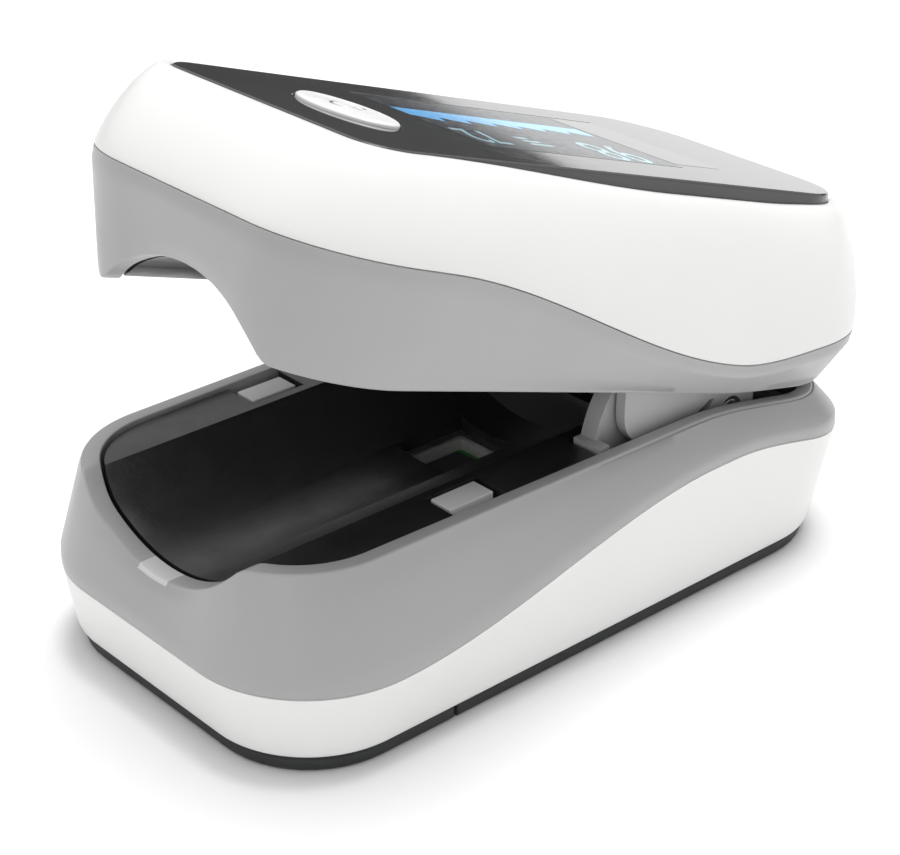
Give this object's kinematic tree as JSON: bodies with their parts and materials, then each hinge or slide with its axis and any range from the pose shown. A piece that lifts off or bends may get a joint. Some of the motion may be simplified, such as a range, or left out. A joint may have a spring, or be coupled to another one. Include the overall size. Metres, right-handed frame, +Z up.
{
  "type": "fingertip pulse oximeter",
  "caption": "Spring-clip finger pulse oximeter: two hinged jaws with soft pads, a screen panel and push button on top, and a sliding battery door underneath.",
  "frame": {"origin": "under the middle of the whole object with its jaws open, on the plane it stands on", "axes": "+X to the right of the object seen from its finger opening, +Y toward the hinge end, +Z up"},
  "size_m": [0.034, 0.0628, 0.0432],
  "materials": {
    "white_shell": "satin white ABS shell with a fine moulded grain",
    "grey_rim": "mid grey satin plastic band",
    "light_grey": "light grey moulded plastic",
    "dark_base": "charcoal textured plastic base",
    "silicone": "soft black silicone with a low sheen",
    "dark_panel": "smoked glossy acrylic panel",
    "button_white": "white button cap",
    "clear_window": "clear optical window",
    "circuit_board": "green circuit board",
    "chip": "dark sensor chip in a clear package",
    "screen": "small lit display",
    "cell_foil": "foil pouch of a flat cell",
    "steel": "spring and pin steel"
  },
  "bodies": {
    "lower_jaw": {"lower_cover": "white_shell", "lower_rim": "grey_rim", "front_insert": "light_grey", "base_plate": "dark_base", "chassis": "light_grey", "battery_cell": "cell_foil", "lower_pad": "silicone", "sensor_window": "clear_window", "photodiode": "chip", "sensor_board": "circuit_board", "lower_bracket": "light_grey", "hinge_pin": "steel", "spring_left": "steel", "spring_right": "steel"},
    "upper_jaw": {"upper_cover": "white_shell", "upper_rim": "grey_rim", "upper_bracket": "light_grey", "upper_pad": "silicone", "led_window": "clear_window", "led_emitter": "circuit_board", "main_board": "circuit_board", "display_module": "screen", "tact_switch": "steel", "top_panel": "dark_panel"},
    "button": {"power_button": "button_white"},
    "door": {"battery_door": "dark_base"}
  },
  "joints": [
    {"name": "jaw_hinge", "type": "hinge", "parent": "lower_jaw", "child": "upper_jaw", "pos_m": [0, 0.01499, 0.01366], "axis": [1, 0, 0], "range_deg": [0, 18.3]},
    {"name": "button_press", "type": "slide", "parent": "upper_jaw", "child": "button", "axis": [0, -0.314, -0.9494], "range_m": [0, 0.0005], "stiffness_N_per_m": 400},
    {"name": "door_slide", "type": "slide", "parent": "lower_jaw", "child": "door", "axis": [0, 1, 0], "range_m": [0, 0.024]}
  ]
}
